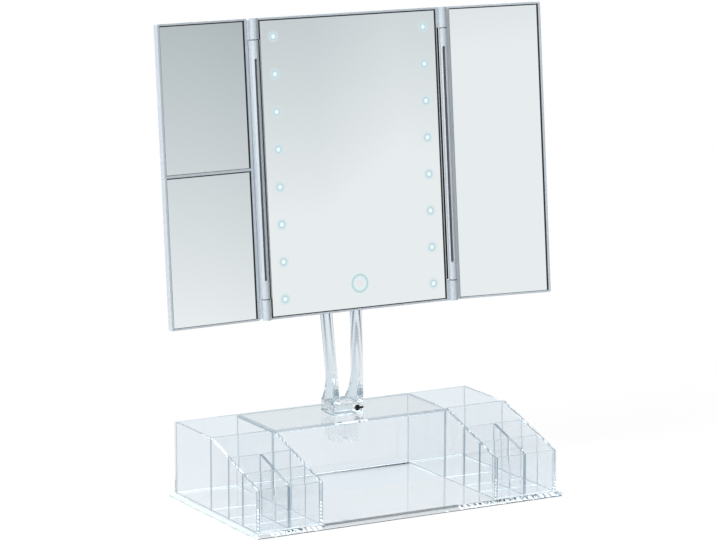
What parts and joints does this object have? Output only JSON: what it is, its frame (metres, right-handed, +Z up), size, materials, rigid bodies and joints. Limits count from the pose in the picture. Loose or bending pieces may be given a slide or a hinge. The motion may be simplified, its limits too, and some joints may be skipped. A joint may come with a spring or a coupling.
{
  "type": "lighted makeup mirror",
  "caption": "Lighted trifold makeup mirror with folding wings and tilting head, on clear legs over a clear cosmetics organiser.",
  "frame": {"origin": "centre of the base plate's underside, on the table", "axes": "+Z up, +X to the viewer's right, +Y to the back, away from the viewer"},
  "size_m": [0.391, 0.1755, 0.4458],
  "materials": {
    "clear_plastic": "clear, polished",
    "silver_plastic": "pale silver, satin gloss",
    "mirror_glass": "silvered mirror",
    "light_window": "frosted, lit",
    "touch_mark": "frosted, dimly lit",
    "led_chip": "encapsulated",
    "circuit_board": "white solder mask",
    "copper_pad": "copper foil",
    "black_screw": "black oxide",
    "steel": "zinc plated",
    "nylon": "plain",
    "battery_can": "plain sleeve",
    "wire_sleeve": "insulated",
    "dark_steel": "dark phosphated",
    "black_plastic": "moulded"
  },
  "bodies": {
    "organiser": {"base_plate": "clear_plastic", "rear_wall": "clear_plastic", "deck_front_wall": "clear_plastic", "deck_plate": "clear_plastic", "foot_socket": "clear_plastic", "left_outer_wall": "clear_plastic", "left_inner_wall": "clear_plastic", "left_cross_wall_1": "clear_plastic", "left_cross_wall_2": "clear_plastic", "left_cross_wall_3": "clear_plastic", "left_front_wall": "clear_plastic", "left_divider": "clear_plastic", "right_outer_wall": "clear_plastic", "right_inner_wall": "clear_plastic", "right_cross_wall_1": "clear_plastic", "right_cross_wall_2": "clear_plastic", "right_cross_wall_3": "clear_plastic", "right_front_wall": "clear_plastic", "right_divider": "clear_plastic", "stand_foot": "clear_plastic", "left_leg": "clear_plastic", "right_leg": "clear_plastic", "foot_screw": "black_screw", "tilt_bolt": "steel", "tilt_nut": "steel", "friction_washers": "nylon"},
    "mirror_head": {"tilt_bracket": "silver_plastic", "bracket_screws": "steel", "centre_frame": "silver_plastic", "centre_glass": "mirror_glass", "centre_liner": "black_plastic", "hinge_shields": "black_plastic", "touch_ring": "touch_mark", "touch_pad": "copper_pad", "led_windows": "light_window", "leds": "led_chip", "led_strips": "circuit_board", "control_board": "circuit_board", "wiring": "wire_sleeve", "back_cover": "silver_plastic", "cover_screws": "steel", "battery_cells": "battery_can", "battery_contacts": "steel", "switch_body": "black_plastic", "left_hinge_pins": "dark_steel", "right_hinge_pins": "dark_steel"},
    "left_wing": {"left_wing_frame": "silver_plastic", "left_wing_back": "silver_plastic", "left_wing_liners": "black_plastic", "left_upper_glass": "mirror_glass", "left_lower_glass": "mirror_glass"},
    "right_wing": {"right_wing_frame": "silver_plastic", "right_wing_back": "silver_plastic", "right_wing_liners": "black_plastic", "right_wing_glass": "mirror_glass"},
    "battery_door": {"battery_door": "silver_plastic"},
    "power_slider": {"power_slider": "black_plastic"}
  },
  "joints": [
    {"name": "mirror_tilt", "type": "hinge", "parent": "organiser", "child": "mirror_head", "pos_m": [0, 0.05385, 0.23139], "axis": [-1, 0, 0], "range_deg": [-12, 25]},
    {"name": "left_wing_fold", "type": "hinge", "parent": "mirror_head", "child": "left_wing", "pos_m": [-0.098, 0.01975, 0.30887], "axis": [0, 0.0922, 0.9957], "range_deg": [-4.5, 175.5]},
    {"name": "right_wing_fold", "type": "hinge", "parent": "mirror_head", "child": "right_wing", "pos_m": [0.098, 0.01975, 0.30887], "axis": [0, -0.0922, -0.9957], "range_deg": [-11.7, 168.3]},
    {"name": "battery_door_slide", "type": "slide", "parent": "mirror_head", "child": "battery_door", "axis": [0, 0.0922, 0.9957], "range_m": [0, 0.0636]},
    {"name": "power_switch_slide", "type": "slide", "parent": "mirror_head", "child": "power_slider", "axis": [1, 0, 0], "range_m": [0, 0.004]}
  ]
}
